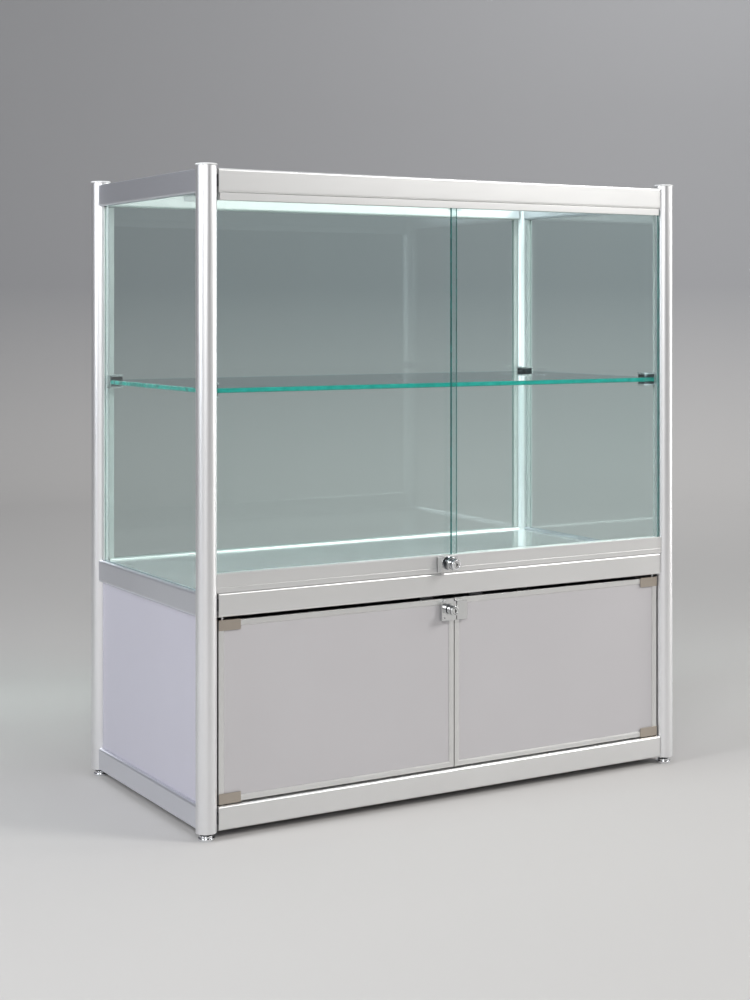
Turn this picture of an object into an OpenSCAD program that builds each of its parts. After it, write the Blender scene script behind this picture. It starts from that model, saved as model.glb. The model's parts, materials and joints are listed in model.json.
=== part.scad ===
// Floor-standing glass display case with sliding glass doors over a two-door cupboard.
// Millimetres. +Z is up, the front faces -Y, and the floor is at z = 0.
// The origin is at the middle of the whole case's outline on the floor.

/* [Overall size] */
// Width over the posts
case_w = 1000; // [700:10:1300]
// Depth over the posts
case_d = 500; // [360:10:700]
// Height from the floor to the top of the post caps
case_h = 1110; // [900:10:1400]
// Height of the middle rails' lower edge above the floor
cupboard_top = 364; // [280:2:460]
// Height of the glass shelf's underside above the floor
shelf_z = 731; // [560:1:820]

/* [Posts and feet] */
// Outside diameter of a post
post_d = 35; // [30:1:44]
// Wall thickness of a post
post_wall = 1.8; // [1.2:0.1:3]
// Height of a post's lower end above the floor
post_foot_gap = 13; // [12:0.5:20]
// How far a cap stands out round its post
cap_rim = 1; // [0.5:0.25:2]
// Thickness of a cap
cap_h = 4; // [3:0.5:8]
// Length of the plug that a cap or a foot insert pushes into the post
plug_h = 12; // [8:1:14]
// Diameter of a levelling foot's pad
foot_d = 27; // [22:1:34]
// Diameter of the pad's upper step
foot_step_d = 22; // [16:1:24]
// Height of each of the pad's two steps
foot_step_h = 4.4; // [3:0.1:5]
// Diameter of a foot's threaded stem
stem_d = 10; // [8:1:12]

/* [Rails] */
// Height of a rail
rail_h = 40; // [34:1:50]
// Thickness of a rail
rail_t = 22; // [20:1:26]
// Wall thickness of a rail
rail_wall = 2; // [1.5:0.1:2.5]
// Rounding of a rail's long edges
rail_round = 4; // [2:0.5:6]
// Width of the groove along a rail's top and bottom
groove_w = 6.4; // [6:0.1:8]
// Depth of that groove
groove_depth = 8; // [6:0.5:9]
// Height of the bottom rails' lower edge above the floor
bottom_rail_z = 14; // [12:1:24]
// How far the caps' tops stand above the top rails
cap_over_rail = 8; // [6:1:16]
// Gap between a rail's end and its post
rail_end_gap = 0.3; // [0.2:0.1:1]
// Length of a rail connector
connector_len = 35; // [25:1:50]
// Diameter of a connector's stud
stud_d = 8; // [6:0.5:10]

/* [Fixed glass] */
// Thickness of the fixed and sliding panes
glass_t = 5; // [4:0.5:5]
// Width of a glazing channel
channel_w = 10; // [9:0.5:12]
// Depth of a glazing channel
channel_depth = 10; // [8:0.5:12]
// Thickness of the shelf
shelf_t = 8; // [6:1:12]
// Gap between a front post and the shelf's front edge
shelf_post_gap = 2.5; // [2.5:0.5:40]
// Length of a shelf clip
clip_len = 27; // [20:1:34]
// Depth of a shelf clip
clip_depth = 22; // [16:1:30]
// Height of a shelf clip
clip_h = 25; // [22:1:32]

/* [Sliding glass doors] */
// Overlap of the two sliding panes
slide_overlap = 17; // [10:1:40]
// Gap between a sliding pane's outer edge and its post
slide_end_gap = 1; // [0.5:0.5:4]
// Height of the lower track
lower_track_h = 31; // [26:1:40]
// Thickness of the lower track's floor
lower_track_floor = 6; // [4:0.5:8]
// Height of the top track
top_track_h = 12; // [10:1:20]
// Thickness of a track's outer walls
track_wall = 2; // [1.5:0.1:3]
// Thickness of a track's middle wall
track_rib = 3; // [2:0.1:4]
// Length of a glide
glide_len = 30; // [20:1:50]
// Height of a glide
glide_h = 15; // [13:0.5:18]

/* [Boards and panels] */
// Thickness of the display floor
deck_t = 10; // [8:1:18]
// How far the display floor lies below the middle rails' tops
deck_drop = 4; // [2:0.5:8]
// Thickness of the cupboard's base board
base_t = 16; // [10:1:18]
// How far the base board lies below the bottom rails' tops
base_drop = 2; // [1:0.5:6]
// Thickness of the cupboard's side and back panels
panel_t = 5; // [4:0.5:5]

/* [Cupboard doors] */
// Thickness of a door over its trim
door_t = 8; // [7:0.5:12]
// Width of the trim round a door
trim_w = 10; // [8:0.5:16]
// Gap below the doors
door_low_gap = 3; // [3:0.5:8]
// Gap above the doors
door_top_gap = 7; // [6:0.5:12]
// Gap between a door and its post
door_side_gap = 3; // [2.5:0.5:8]
// Gap between the two doors
door_mid_gap = 1.5; // [1:0.5:4]
// Distance of the pivot from the door's outer edge
pivot_in = 8; // [6:0.5:8]
// Diameter of a pivot pin
pivot_d = 4; // [3:0.5:4.5]
// Length of a hinge clip
hinge_len = 40; // [30:1:60]
// Height of a hinge clip
hinge_h = 17.5; // [14:0.5:24]

/* [Locks] */
// Diameter of the push lock's barrel
push_d = 19; // [16:0.5:22]
// Distance of the push lock's face from the front posts' axes
push_reach = 43; // [40:1:50]
// Travel of the push lock's barrel
push_travel = 14; // [13:0.5:15]
// Diameter of the push lock's pin
push_pin_d = 6; // [4:0.5:6]
// Distance of the push lock's axis from the middle of the case
push_x = 20; // [18:1:24]
// Height of the cupboard lock's case
lock_h = 34; // [30:1:44]
// Depth of the cupboard lock's case
lock_t = 8; // [8:0.5:10]
// Width of the lock case on the left door
lock_w = 30; // [28:1:40]
// Width of the strike on the right door
strike_w = 22; // [18:1:30]
// Diameter of the cupboard lock's barrel
barrel_d = 17; // [15:0.5:19]
// Length of the cupboard lock's barrel
barrel_len = 19; // [12:1:24]
// Diameter of both locks' key plugs
plug_d = 11; // [9:0.5:12]
// Travel of the cupboard lock's bolt
bolt_travel = 8; // [6:0.5:8]

/* [Fits] */
// Gap between two pieces that are seated on each other
seat = 0.2; // [0.1:0.05:0.4]
// Radial clearance of a turning or sliding fit
running = 0.05; // [0.03:0.01:0.1]
// Gap round a board's or a pane's edge
edge_gap = 0.5; // [0.3:0.1:1]
// Gap between a glide and the walls of its groove
slide_gap = 0.2; // [0.1:0.05:0.3]

/* [Hidden] */
$fn = 72;
cut = 1;

// Places of the posts and rails
post_r = post_d / 2;
cap_d = post_d + 2 * cap_rim;
axis_x = case_w / 2 - post_r;
pitch_y = case_d - post_d;
front_y = (push_reach - cap_d / 2 - pitch_y) / 2;
back_y = front_y + pitch_y;
middle_y = (front_y + back_y) / 2;
post_top = case_h - cap_h;
top_rail_z = case_h - cap_over_rail - rail_h;
rail_half_x = axis_x - post_r - rail_end_gap;
rail_half_y = pitch_y / 2 - post_r - rail_end_gap;
face = rail_t / 2;
mid_rail_top = cupboard_top + rail_h;
bottom_rail_top = bottom_rail_z + rail_h;
chamber_w = rail_t - 2 * rail_wall;
chamber_h = rail_h - 2 * (groove_depth + rail_wall);
plug_room = post_d - 2 * post_wall - 2 * seat;

// Fixed glass and boards
glass_low = mid_rail_top - groove_depth + seat;
glass_high = top_rail_z + groove_depth / 2;
channel_start = post_r + seat;
channel_web = 2;
pane_edge = channel_start + channel_web + edge_gap;
deck_top = mid_rail_top - deck_drop;
base_top = bottom_rail_top - base_drop;
top_glass_drop = 3;
top_glass_z = top_rail_z + rail_h - top_glass_drop - glass_t;
shelf_half = axis_x - channel_w / 2 - 2 * seat - 2;
shelf_front = post_r + shelf_post_gap;
clip_web = 2;
bracket_len = 30;
bracket_leg = 12;
bracket_t = 1.6;
bracket_spread = axis_x * 0.62;

// Tracks: distances behind the front posts' axes
slot_w = glass_t + 1.5;
slot_1 = -face + track_wall;
rib_1 = slot_1 + slot_w;
slot_2 = rib_1 + track_rib;
track_back = slot_2 + slot_w + track_wall;
track_depth = track_back + face;
front_pane = slot_1 + slot_w / 2;
rear_pane = slot_2 + slot_w / 2;
track_floor_z = mid_rail_top + seat + lower_track_floor;
slide_z = track_floor_z + seat + glide_h + seat;
slide_top = top_rail_z - top_track_h / 3;
slide_outer = axis_x - post_r - slide_end_gap;
slide_w = slide_outer + slide_overlap / 2;
glide_inset = 45;
glide_play = 6;

// Cupboard doors: distances from the middle of the case
door_inner = door_mid_gap / 2;
door_outer = axis_x - post_r - door_side_gap;
door_w = door_outer - door_inner;
door_z = bottom_rail_top + door_low_gap;
door_h = cupboard_top - door_top_gap - door_z;
door_top = door_z + door_h;
door_panel_t = 5;
trim_lip = 2;
mitre = 0.1;
pivot_x = door_outer - pivot_in;
hinge_wall = 1.4;
pin_end_gap = 1;
bush_len = 18;
stop_len = 28;

// Push lock on the lower track
push_z = track_floor_z + glide_h - push_pin_d / 2 - 0.5;
push_sleeve_d = push_d + 5;
push_sleeve_end = 32;
push_body_len = push_travel + 3;
push_base_w = 42;
push_base_low = 2;
push_base_h = 27;
push_base_t = 2.5;
push_plug_len = 10;

// Cupboard lock
lock_drop = 4;
lock_z = door_top - lock_drop - lock_h;
lock_back = -door_t / 2 - seat;
lock_front = lock_back - lock_t;
lock_skin = 1.5;
lock_cover_t = 1;
lock_split = door_mid_gap / 2;
barrel_x = -door_inner - 14.5;
barrel_z = lock_z + lock_h * 0.58;
// The crank turns a quarter turn, 45 degrees each side of upright
crank_r = bolt_travel / 2 / sin(45);
crank_pin_d = 2.4;
crank_disc_t = 1.3;
crank_disc_d = 2 * crank_r + crank_pin_d + 0.4;
bolt_t = 3;
bolt_h = 16;
bolt_len = 24.5;
bolt_slack = 0.6;
key_slot_w = 1.6;
key_slot_h = 7;
key_slot_deep = 4;

// ---- helpers ----

// A rectangle about the origin with round corners
module round_square(w, h, r) {
    square([w - 2 * r, h], center = true);
    square([w, h - 2 * r], center = true);
    for (x = [-1, 1], y = [-1, 1])
        translate([x * (w / 2 - r), y * (h / 2 - r)])
            circle(r);
}

// Draws its children at the two posts of each side, turned so that +X and +Y point into the case
module at_corners() {
    for (x = [-1, 1], y = [0, 1])
        translate([x * axis_x, y == 0 ? front_y : back_y, 0])
            mirror([x > 0 ? 1 : 0, 0, 0])
                mirror([0, y, 0])
                    children();
}

// Children are drawn for the right side, and mirrored for the left
module on_side(side) {
    mirror([side < 0 ? 1 : 0, 0, 0])
        children();
}

// A cylinder along Y from y = from to y = to
module bar_y(d, from, to) {
    translate([0, to, 0])
        rotate([90, 0, 0])
            cylinder(d = d, h = to - from);
}

// ---- posts and feet ----

// The holes in a post for the studs of the rails that meet it
module stud_holes() {
    hole_d = stud_d + 2 * seat;
    for (z = [bottom_rail_z, cupboard_top, top_rail_z])
        translate([0, 0, z + rail_h / 2]) {
            rotate([0, 90, 0])
                cylinder(d = hole_d, h = post_r + cut);
            rotate([-90, 0, 0])
                cylinder(d = hole_d, h = post_r + cut);
        }
}

// x is -1 for left and 1 for right; y is 0 for front and 1 for back
module post(x, y) {
    color([0.86, 0.87, 0.88])
        translate([x * axis_x, y == 0 ? front_y : back_y, 0])
            mirror([x > 0 ? 1 : 0, 0, 0])
                mirror([0, y, 0])
                    difference() {
                        translate([0, 0, post_foot_gap])
                            cylinder(d = post_d, h = post_top - post_foot_gap);
                        translate([0, 0, post_foot_gap - cut])
                            cylinder(d = post_d - 2 * post_wall, h = post_top + 2 * cut);
                        stud_holes();
                    }
}

module post_front_left() { post(-1, 0); }
module post_front_right() { post(1, 0); }
module post_back_left() { post(-1, 1); }
module post_back_right() { post(1, 1); }

// A flat cap with a round rim, on a plug that pushes into the tube
module post_caps() {
    rim = cap_h * 0.45;
    color([0.9, 0.9, 0.9])
        at_corners() {
            translate([0, 0, post_top + seat])
                rotate_extrude() {
                    square([cap_d / 2 - rim, cap_h - seat]);
                    square([cap_d / 2, cap_h - seat - rim]);
                    translate([cap_d / 2 - rim, cap_h - seat - rim])
                        intersection() {
                            circle(rim);
                            square(rim);
                        }
                }
            translate([0, 0, post_top + seat - plug_h])
                cylinder(d = plug_room, h = plug_h + cap_h / 2);
        }
}

module foot_inserts() {
    color([0.2, 0.2, 0.22])
        at_corners()
            translate([0, 0, post_foot_gap + seat])
                difference() {
                    cylinder(d = plug_room, h = plug_h);
                    translate([0, 0, -cut])
                        cylinder(d = stem_d, h = plug_h + 2 * cut);
                }
}

module foot(x, y) {
    color([0.75, 0.76, 0.78])
        translate([x * axis_x, y == 0 ? front_y : back_y, 0]) {
            cylinder(d = foot_d, h = foot_step_h);
            cylinder(d = foot_step_d, h = 2 * foot_step_h);
            cylinder(d = stem_d - 2 * running, h = post_foot_gap + plug_h - 1);
        }
}

module foot_front_left() { foot(-1, 0); }
module foot_front_right() { foot(1, 0); }
module foot_back_left() { foot(-1, 1); }
module foot_back_right() { foot(1, 1); }

// ---- rails ----

// Section of a rail about its middle: a groove top and bottom, and a chamber between them
module rail_section() {
    difference() {
        round_square(rail_t, rail_h, rail_round);
        square([chamber_w, chamber_h], center = true);
        for (z = [-1, 1])
            translate([0, z * (rail_h / 2 - groove_depth / 2 + cut / 2)])
                square([groove_w, groove_depth + cut], center = true);
    }
}

// A rail along X with its lower edge at z
module rail_x(y, z) {
    color([0.84, 0.85, 0.86])
        translate([0, y, z + rail_h / 2])
            rotate([90, 0, 90])
                linear_extrude(2 * rail_half_x, center = true)
                    rail_section();
}

// A rail along Y with its lower edge at z
module rail_y(x, z) {
    color([0.7, 0.71, 0.74])
        translate([x, middle_y, z + rail_h / 2])
            rotate([90, 0, 0])
                linear_extrude(2 * rail_half_y, center = true)
                    rail_section();
}

module top_rail_front() { rail_x(front_y, top_rail_z); }
module top_rail_back() { rail_x(back_y, top_rail_z); }
module top_rail_left() { rail_y(-axis_x, top_rail_z); }
module top_rail_right() { rail_y(axis_x, top_rail_z); }
module middle_rail_back() { rail_x(back_y, cupboard_top); }
module middle_rail_left() { rail_y(-axis_x, cupboard_top); }
module middle_rail_right() { rail_y(axis_x, cupboard_top); }
module middle_rail_front() { rail_x(front_y, cupboard_top); }
module bottom_rail_front() { rail_x(front_y, bottom_rail_z); }
module bottom_rail_back() { rail_x(back_y, bottom_rail_z); }
module bottom_rail_left() { rail_y(-axis_x, bottom_rail_z); }
module bottom_rail_right() { rail_y(axis_x, bottom_rail_z); }

// A block in the end of a rail's chamber, with a stud through the post's wall. It points along -X.
module connector() {
    tip = post_r - post_wall - 3;
    translate([post_r + rail_end_gap, seat - chamber_w / 2, seat - chamber_h / 2])
        cube([connector_len, chamber_w - 2 * seat, chamber_h - 2 * seat]);
    translate([tip, 0, 0])
        rotate([0, 90, 0])
            cylinder(d = stud_d, h = post_r + connector_len / 2 - tip);
}

module rail_connectors() {
    color([0.45, 0.46, 0.48])
        for (z = [bottom_rail_z, cupboard_top, top_rail_z])
            at_corners()
                translate([0, 0, z + rail_h / 2]) {
                    connector();
                    mirror([1, -1, 0])
                        connector();
                }
}

// ---- tracks ----

// The two slots of a track, cut h deep from z = 0 upward
module track_slots(h) {
    for (start = [slot_1, slot_2])
        translate([-axis_x, start, 0])
            cube([2 * axis_x, slot_w, h]);
}

// A bar that reaches both front posts and is scribed round them
module between_posts(h) {
    start = axis_x - post_r + 4;
    difference() {
        translate([-start, -face, 0])
            cube([2 * start, track_depth, h]);
        for (x = [-axis_x, axis_x])
            translate([x, 0, -cut])
                cylinder(r = post_r + seat, h = h + 2 * cut);
    }
}

module top_track() {
    skin = 2;
    color([0.8, 0.81, 0.82])
        translate([0, front_y, top_rail_z - seat - top_track_h])
            difference() {
                translate([-rail_half_x + 2, -face + 0.6, 0])
                    cube([2 * rail_half_x - 4, track_depth - 0.6, top_track_h]);
                translate([0, 0, -cut])
                    track_slots(top_track_h - skin + cut);
            }
}

// The front wall has a shallow line along it, and a bore for the push lock's pin
module lower_track() {
    line_z = 9;
    line_h = 0.8;
    line_deep = 0.7;
    color([0.86, 0.87, 0.87])
        difference() {
            translate([0, front_y, mid_rail_top + seat])
                difference() {
                    between_posts(lower_track_h);
                    translate([0, 0, lower_track_floor])
                        track_slots(lower_track_h);
                    translate([-axis_x, -face - cut, line_z])
                        cube([2 * axis_x, line_deep + cut, line_h]);
                }
            translate([-push_x, front_y, push_z])
                bar_y(push_pin_d + 4 * running, -face - cut, slot_2 + cut);
        }
}

// ---- fixed glass ----

module side_glass(x) {
    color([0.6, 0.75, 0.75, 0.35])
        translate([x * axis_x - glass_t / 2, front_y + pane_edge, glass_low])
            cube([glass_t, pitch_y - 2 * pane_edge, glass_high - glass_low]);
}

module left_glass() { side_glass(-1); }
module right_glass() { side_glass(1); }

module back_glass() {
    color([0.6, 0.75, 0.75, 0.35])
        translate([-axis_x + pane_edge, back_y - glass_t / 2, glass_low])
            cube([2 * (axis_x - pane_edge), glass_t, glass_high - glass_low]);
}

// A board or pane that fills the rails' inside and is cut round the posts
module inner_board(z, thickness) {
    in = face + edge_gap;
    difference() {
        translate([-axis_x + in, front_y + in, z])
            cube([2 * (axis_x - in), pitch_y - 2 * in, thickness]);
        at_corners()
            translate([0, 0, z - cut])
                cylinder(r = post_r + edge_gap, h = thickness + 2 * cut);
    }
}

module top_glass() {
    color([0.6, 0.75, 0.75, 0.35])
        inner_board(top_glass_z, glass_t);
}

// An angle bracket on a rail's inner face, with its top at z = 0 and its back at y = 0
module bracket() {
    translate([-bracket_len / 2, seat, -bracket_t])
        cube([bracket_len, bracket_leg, bracket_t]);
    translate([-bracket_len / 2, seat, -bracket_leg - 4])
        cube([bracket_len, bracket_t, bracket_leg + 4]);
}

// Two brackets on each long rail and one on each short rail
module bracket_ring(z) {
    for (x = [-bracket_spread, bracket_spread]) {
        translate([x, front_y + face, z])
            bracket();
        translate([x, back_y - face, z])
            mirror([0, 1, 0])
                bracket();
    }
    for (x = [-1, 1])
        translate([x * (axis_x - face), middle_y, z])
            rotate([0, 0, x * 90])
                bracket();
}

module top_glass_rests() {
    color([0.8, 0.8, 0.8])
        bracket_ring(top_glass_z - seat);
}

// An upright U profile beside a post, open along +Y
module channel() {
    slot = glass_t + 2 * seat;
    bottom = mid_rail_top + seat;
    translate([0, channel_start, bottom])
        linear_extrude(top_rail_z - seat - bottom)
            difference() {
                translate([-channel_w / 2, 0])
                    square([channel_w, channel_depth]);
                translate([-slot / 2, channel_web])
                    square([slot, channel_depth]);
            }
}

module glazing_channels() {
    color([0.88, 0.88, 0.87])
        at_corners() {
            channel();
        }
    color([0.88, 0.88, 0.87])
        for (x = [-1, 1])
            translate([x * axis_x, back_y, 0])
                rotate([0, 0, x * 90])
                    channel();
}

module glass_shelf() {
    color([0.1, 0.55, 0.5, 0.5])
        translate([-shelf_half, front_y + shelf_front, shelf_z])
            cube([2 * shelf_half, pitch_y - 2 * shelf_front, shelf_t]);
}

// A block clip round each corner of the shelf, seated on the glazing channel
module shelf_clips() {
    start = channel_w / 2 + seat;
    low = shelf_z + shelf_t / 2 - clip_h / 2 + 1;
    slot_h = shelf_t + 2 * seat;
    color([0.75, 0.77, 0.8])
        at_corners()
            translate([start, shelf_front, 0])
                difference() {
                    translate([0, 0, low])
                        cube([clip_len, clip_depth, clip_h]);
                    translate([clip_web, -cut, shelf_z - seat])
                        cube([clip_len, clip_depth + 2 * cut, slot_h]);
                }
}

// ---- boards and panels ----

module deck_board() {
    color([0.85, 0.87, 0.87])
        inner_board(deck_top - deck_t, deck_t);
}

module base_board() {
    color([0.85, 0.85, 0.84])
        inner_board(base_top - base_t, base_t);
}

module board_brackets() {
    color([0.7, 0.7, 0.7]) {
        bracket_ring(deck_top - deck_t - seat);
        bracket_ring(base_top - base_t - seat);
    }
}

panel_low = bottom_rail_top - groove_depth + seat;
panel_high = cupboard_top + groove_depth / 2;
panel_edge = post_r + edge_gap;

module side_panel(x) {
    color([0.73, 0.73, 0.78])
        translate([x * axis_x - panel_t / 2, front_y + panel_edge, panel_low])
            cube([panel_t, pitch_y - 2 * panel_edge, panel_high - panel_low]);
}

module left_panel() { side_panel(-1); }
module right_panel() { side_panel(1); }

module back_panel() {
    color([0.73, 0.73, 0.78])
        translate([-axis_x + panel_edge, back_y - panel_t / 2, panel_low])
            cube([2 * (axis_x - panel_edge), panel_t, panel_high - panel_low]);
}

// ---- sliding glass doors ----

// The left pane runs in the rear slot, and the right pane in the front slot
module sliding_glass(side) {
    color([0.6, 0.75, 0.75, 0.35])
        on_side(side)
            translate([-slide_overlap / 2, front_y + (side < 0 ? rear_pane : front_pane), slide_z])
                translate([0, -glass_t / 2, 0])
                    cube([slide_w, glass_t, slide_top - slide_z]);
}

// A nylon block under each end of a pane. The pressed push lock's pin stands in the path of
// both inner blocks: the left pane can then move 6 mm, and the right pane 20.5 mm.
module glides(side) {
    width = slot_w - 2 * slide_gap;
    pin_side = push_x + push_pin_d / 2 + glide_play;
    inner = side < 0 ? pin_side : 2 * glide_play - slide_overlap / 2;
    color([0.9, 0.9, 0.88])
        on_side(side)
            for (x = [inner, slide_outer - glide_inset - glide_len])
                translate([x, front_y + (side < 0 ? rear_pane : front_pane) - width / 2,
                           track_floor_z + seat])
                    cube([glide_len, width, glide_h]);
}

module left_sliding_glass() { sliding_glass(-1); }
module right_sliding_glass() { sliding_glass(1); }
module left_glides() { glides(-1); }
module right_glides() { glides(1); }

// ---- cupboard doors ----

module door_panel(side) {
    in = trim_lip + seat;
    color([0.73, 0.72, 0.73])
        on_side(side)
            translate([door_inner + in, front_y - door_panel_t / 2, door_z + in])
                cube([door_w - 2 * in, door_panel_t, door_h - 2 * in]);
}

// A mitred bar from 0 to len along X, with its outer edge at z = 0
module trim_bar(len) {
    rotate([90, 0, 0])
        linear_extrude(door_t, center = true)
            polygon([
                [mitre, 0],
                [len - mitre, 0],
                [len - trim_w - mitre, trim_w],
                [trim_w + mitre, trim_w]
            ]);
}

// Four bars with a groove on their inner edges that holds the panel
module door_trim(side) {
    slot = door_panel_t + 2 * seat;
    color([0.83, 0.83, 0.82])
        on_side(side)
            translate([door_inner, front_y, door_z])
                difference() {
                    union() {
                        trim_bar(door_w);
                        translate([0, 0, door_h])
                            mirror([0, 0, 1])
                                trim_bar(door_w);
                        mirror([1, 0, -1])
                            trim_bar(door_h);
                        translate([door_w, 0, 0])
                            mirror([1, 0, 0])
                                mirror([1, 0, -1])
                                    trim_bar(door_h);
                    }
                    translate([trim_lip, -slot / 2, trim_lip])
                        cube([door_w - 2 * trim_lip, slot, door_h - 2 * trim_lip]);
                }
}

// A clip over the door's upper outer corner with its pin, drawn with the corner at the origin
module hinge_clip(pin_len) {
    outer_t = door_t + 2 * (seat + hinge_wall);
    translate([-hinge_len, 0, 0])
        difference() {
            translate([0, -outer_t / 2, seat + hinge_wall - hinge_h])
                cube([hinge_len, outer_t, hinge_h]);
            translate([-cut, -door_t / 2 - seat, -hinge_h])
                cube([hinge_len + 2 * cut, door_t + 2 * seat, hinge_h + seat]);
        }
    translate([-pivot_in, 0, seat + hinge_wall / 2])
        cylinder(d = pivot_d, h = hinge_wall / 2 + pin_len);
}

// The pins end inside the rails' grooves
module door_hinges(side) {
    over = seat + hinge_wall;
    color([0.6, 0.56, 0.52])
        on_side(side)
            translate([door_outer, front_y, 0]) {
                translate([0, 0, door_top])
                    hinge_clip(door_top_gap - over + groove_depth - pin_end_gap);
                translate([0, 0, door_z])
                    mirror([0, 0, 1])
                        hinge_clip(door_low_gap - over + groove_depth - pin_end_gap);
            }
}

module left_door_panel() { door_panel(-1); }
module right_door_panel() { door_panel(1); }
module left_door_trim() { door_trim(-1); }
module right_door_trim() { door_trim(1); }
module left_door_hinges() { door_hinges(-1); }
module right_door_hinges() { door_hinges(1); }

// A bored block in the groove above and below each door's pivot
module pivot_bushes() {
    height = groove_depth - 2 * seat;
    width = groove_w - 2 * seat;
    color([0.25, 0.25, 0.26])
        for (x = [-pivot_x, pivot_x], z = [bottom_rail_top - groove_depth, cupboard_top])
            translate([x, front_y, z + seat])
                difference() {
                    translate([-bush_len / 2, -width / 2, 0])
                        cube([bush_len, width, height]);
                    translate([0, 0, -cut])
                        cylinder(d = pivot_d + 2 * running, h = height + 2 * cut);
                }
}

// A stop behind the top of each door, under the middle rail
module door_stops() {
    start = lock_w + 8;
    drop = door_top_gap + 7;
    behind = door_t / 2 + 2 * seat;
    color([0.3, 0.3, 0.3])
        for (side = [-1, 1])
            on_side(side)
                translate([start, front_y + behind, cupboard_top - seat - drop])
                    cube([stop_len, face - rail_round / 2 - behind, drop]);
}

// ---- push lock of the sliding doors ----

// A plate on the track's face, an end cheek, and a sleeve that guides the barrel
module push_lock_bracket() {
    cheek = 15;
    back = -face - seat;
    low = mid_rail_top + push_base_low;
    left = -push_x - push_base_w / 2;
    color([0.78, 0.79, 0.8])
        translate([0, front_y, 0])
            difference() {
                union() {
                    translate([left, back - push_base_t, low])
                        cube([push_base_w, push_base_t, push_base_h]);
                    translate([left, back - cheek, low])
                        cube([push_base_t, cheek, push_base_h]);
                    translate([-push_x, 0, push_z])
                        bar_y(push_sleeve_d, -push_sleeve_end, back - push_base_t / 2);
                }
                translate([-push_x, 0, push_z])
                    bar_y(push_d + 2 * running, -push_sleeve_end - cut, back + cut);
            }
}

// A barrel that holds the key plug, and the pin that it pushes through the track
module push_lock_barrel() {
    pin_tip = slot_1 - 0.5;
    body_end = push_body_len - push_reach;
    color([0.8, 0.8, 0.82])
        translate([-push_x, front_y, push_z])
            difference() {
                union() {
                    bar_y(push_d, -push_reach, body_end);
                    bar_y(push_pin_d, body_end - cut, pin_tip);
                }
                bar_y(plug_d + 2 * running, -push_reach - cut, push_plug_len - push_reach);
            }
}

// A key plug whose face is at y = 0, with an upright key slot
module key_plug(len) {
    difference() {
        bar_y(plug_d, 0, len);
        translate([-key_slot_w / 2, -cut, -key_slot_h / 2])
            cube([key_slot_w, key_slot_deep + cut, key_slot_h]);
    }
}

module push_lock_plug() {
    color([0.7, 0.7, 0.72])
        translate([-push_x, front_y - push_reach + seat, push_z])
            key_plug(push_plug_len - 2 * seat);
}

// ---- cupboard lock ----

// The hollow in the case and in the strike that the bolt runs in
module bolt_room(from, to, front, back) {
    translate([from, front, barrel_z - bolt_h / 2 - bolt_slack])
        cube([to - from, back - front, bolt_h + 2 * bolt_slack]);
}

// The case on the left door's face, its barrel, and the strap over the door's top edge
module door_lock_body() {
    strap_w = 17.5;
    strap_t = 1.4;
    strap_h = 30;
    strap_x = barrel_x - strap_w / 2;
    over = door_top + seat;
    strap_back = door_t / 2 + seat;
    room_end = barrel_x - bolt_travel / 2 - bolt_len / 2;
    color([0.8, 0.8, 0.82])
        translate([0, front_y, 0])
            difference() {
                union() {
                    translate([-lock_split - lock_w, lock_front, lock_z])
                        cube([lock_w, lock_t, lock_h]);
                    translate([strap_x, lock_front, lock_z + lock_h - cut])
                        cube([strap_w, lock_t, lock_drop + cut + seat + strap_t]);
                    translate([strap_x, lock_front + cut, over])
                        cube([strap_w, strap_back + strap_t - lock_front - cut, strap_t]);
                    translate([strap_x, strap_back, over - strap_h])
                        cube([strap_w, strap_t, strap_h + strap_t]);
                    translate([barrel_x, 0, barrel_z])
                        bar_y(barrel_d, lock_front - barrel_len, lock_front + lock_skin / 2);
                }
                bolt_room(-lock_split - lock_w + lock_skin, -lock_split + cut,
                          lock_front + lock_skin, lock_back - lock_cover_t - seat);
                translate([0, lock_back - lock_cover_t - seat, lock_z])
                    translate([-lock_split - lock_w + 1, 0, 2])
                        cube([lock_w - 2, lock_cover_t + seat + cut, lock_h - 4]);
                translate([barrel_x, 0, barrel_z])
                    bar_y(plug_d + 2 * running, lock_front - barrel_len - cut, lock_front + 2 * lock_skin);
            }
}

// The plate that closes the case's back
module door_lock_cover() {
    color([0.6, 0.6, 0.62])
        translate([-lock_split - lock_w + 1 + seat, front_y + lock_back - lock_cover_t, lock_z + 2 + seat])
            cube([lock_w - 2 - 2 * seat, lock_cover_t, lock_h - 4 - 2 * seat]);
}

// The key plug with the crank disc and pin that drive the bolt
module door_lock_plug() {
    disc_front = lock_front + lock_skin + seat;
    disc_back = disc_front + crank_disc_t;
    plug_front = lock_front - barrel_len;
    color([0.7, 0.7, 0.72])
        translate([barrel_x, front_y, barrel_z]) {
            translate([0, plug_front, 0])
                key_plug(disc_front + crank_disc_t / 2 - plug_front);
            bar_y(crank_disc_d, disc_front, disc_back);
            rotate([0, -45, 0])
                translate([0, 0, crank_r])
                    bar_y(crank_pin_d, disc_back - crank_disc_t / 2, disc_back + seat + bolt_t);
        }
}

// A flat bolt with an open slot for the crank pin, drawn back into the case
module door_lock_bolt() {
    front = lock_front + lock_skin + 2 * seat + crank_disc_t;
    pin_x = barrel_x - bolt_travel / 2;
    slot = crank_pin_d + 4 * seat;
    slot_low = crank_r * cos(45) - crank_pin_d / 2 - 2 * seat;
    color([0.55, 0.55, 0.57])
        translate([0, front_y + front, barrel_z])
            difference() {
                translate([-door_inner - seat - bolt_len, 0, -bolt_h / 2])
                    cube([bolt_len, bolt_t, bolt_h]);
                translate([pin_x - slot / 2, -cut, slot_low])
                    cube([slot, bolt_t + 2 * cut, bolt_h]);
            }
}

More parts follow.
